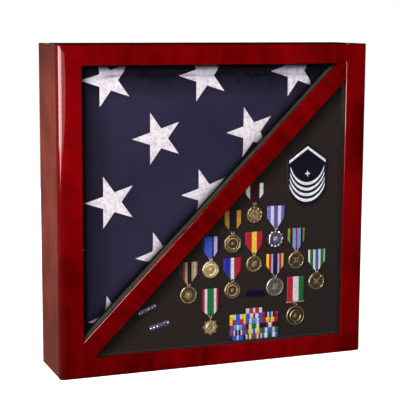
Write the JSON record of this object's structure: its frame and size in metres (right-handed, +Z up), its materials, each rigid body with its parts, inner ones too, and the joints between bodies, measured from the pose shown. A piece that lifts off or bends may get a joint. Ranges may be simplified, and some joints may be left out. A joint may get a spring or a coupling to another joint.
{
  "type": "folded flag display case",
  "caption": "Square glazed hardwood display case with a diagonal bar, a folded flag above it, a medal board below, and a hinged rear door.",
  "frame": {"origin": "middle of the base, half-way between the face frame's front plane and the rear edges of the boards", "axes": "+X to the right as seen from the front, +Y to the back, +Z up; the glazed front faces -Y"},
  "size_m": [0.56, 0.131, 0.556],
  "materials": {
    "frame_wood": "glossy cherry-mahogany lacquer",
    "case_wood": "glossy cherry-mahogany lacquer",
    "inner_wood": "plain stained wood",
    "glass": "clear flat glass",
    "velvet": "black velvet over a spacer strip",
    "felt": "charcoal felt",
    "fibre_board": "plain fibreboard",
    "foam": "white packing foam",
    "flag_cloth": "navy cotton with embroidered white stars",
    "door_panel": "stained fibreboard",
    "brass": "polished",
    "magnet_steel": "nickel plated",
    "hanger_steel": "zinc plated",
    "leather": "brown",
    "rubber": "matt",
    "patch_cloth": "embroidered",
    "ribbon_cloth": "striped moire ribbon",
    "enamel": "blue enamel",
    "silver": "oxidised silver",
    "bronze": "antique bronze and gilt"
  },
  "bodies": {
    "case": {"stile_left": "frame_wood", "stile_right": "frame_wood", "rail_top": "frame_wood", "rail_bottom": "frame_wood", "diagonal_bar": "frame_wood", "side_left": "case_wood", "side_right": "case_wood", "top_board": "case_wood", "bottom_board": "case_wood", "divider_board": "inner_wood", "board_retainers": "inner_wood", "catch_blocks": "inner_wood", "flag_glass": "glass", "medal_glass": "glass", "flag_liner": "velvet", "medal_liner": "velvet", "medal_felt": "felt", "medal_board": "fibre_board", "flag_backing": "foam", "folded_flag": "flag_cloth", "hinge_case_leaves": "brass", "hinge_pins": "brass", "hinge_case_screws": "brass", "wood_screws": "brass", "rack_holder": "brass", "catch_magnets": "magnet_steel", "hanger_straps": "hanger_steel", "wall_bumpers": "rubber", "rank_patch": "patch_cloth", "ribbon_1": "ribbon_cloth", "ribbon_2": "ribbon_cloth", "ribbon_3": "ribbon_cloth", "ribbon_4": "ribbon_cloth", "ribbon_5": "ribbon_cloth", "ribbon_6": "ribbon_cloth", "ribbon_7": "ribbon_cloth", "ribbon_8": "ribbon_cloth", "ribbon_9": "ribbon_cloth", "ribbon_10": "ribbon_cloth", "ribbon_11": "ribbon_cloth", "ribbon_12": "ribbon_cloth", "rack_ribbons": "ribbon_cloth", "bar_badge": "enamel", "clasp_pin_upper": "silver", "clasp_pin_lower": "silver", "lobed_pendant": "silver", "disc_pendants": "bronze", "rayed_pendant": "bronze", "octagon_pendant": "bronze", "star_pendant": "bronze", "suspension_rings": "bronze", "clasp_bar": "bronze"},
    "rear_door": {"back_door": "door_panel", "catch_strikes": "magnet_steel", "hinge_door_leaves": "brass", "hinge_door_screws": "brass", "pull_tab": "leather", "tab_screws": "brass"},
    "ring_left": {"hanger_ring_left": "hanger_steel"},
    "ring_right": {"hanger_ring_right": "hanger_steel"}
  },
  "joints": [
    {"name": "rear_door_hinge", "type": "hinge", "parent": "case", "child": "rear_door", "pos_m": [0, 0.0654, 0.0126], "axis": [-1, 0, 0], "range_deg": [0, 90]},
    {"name": "ring_left_pivot", "type": "hinge", "parent": "case", "child": "ring_left", "pos_m": [-0.274, 0.06465, 0.43], "axis": [1, 0, 0], "range_deg": [0, 170]},
    {"name": "ring_right_pivot", "type": "hinge", "parent": "case", "child": "ring_right", "pos_m": [0.274, 0.06465, 0.43], "axis": [1, 0, 0], "range_deg": [0, 170]}
  ]
}
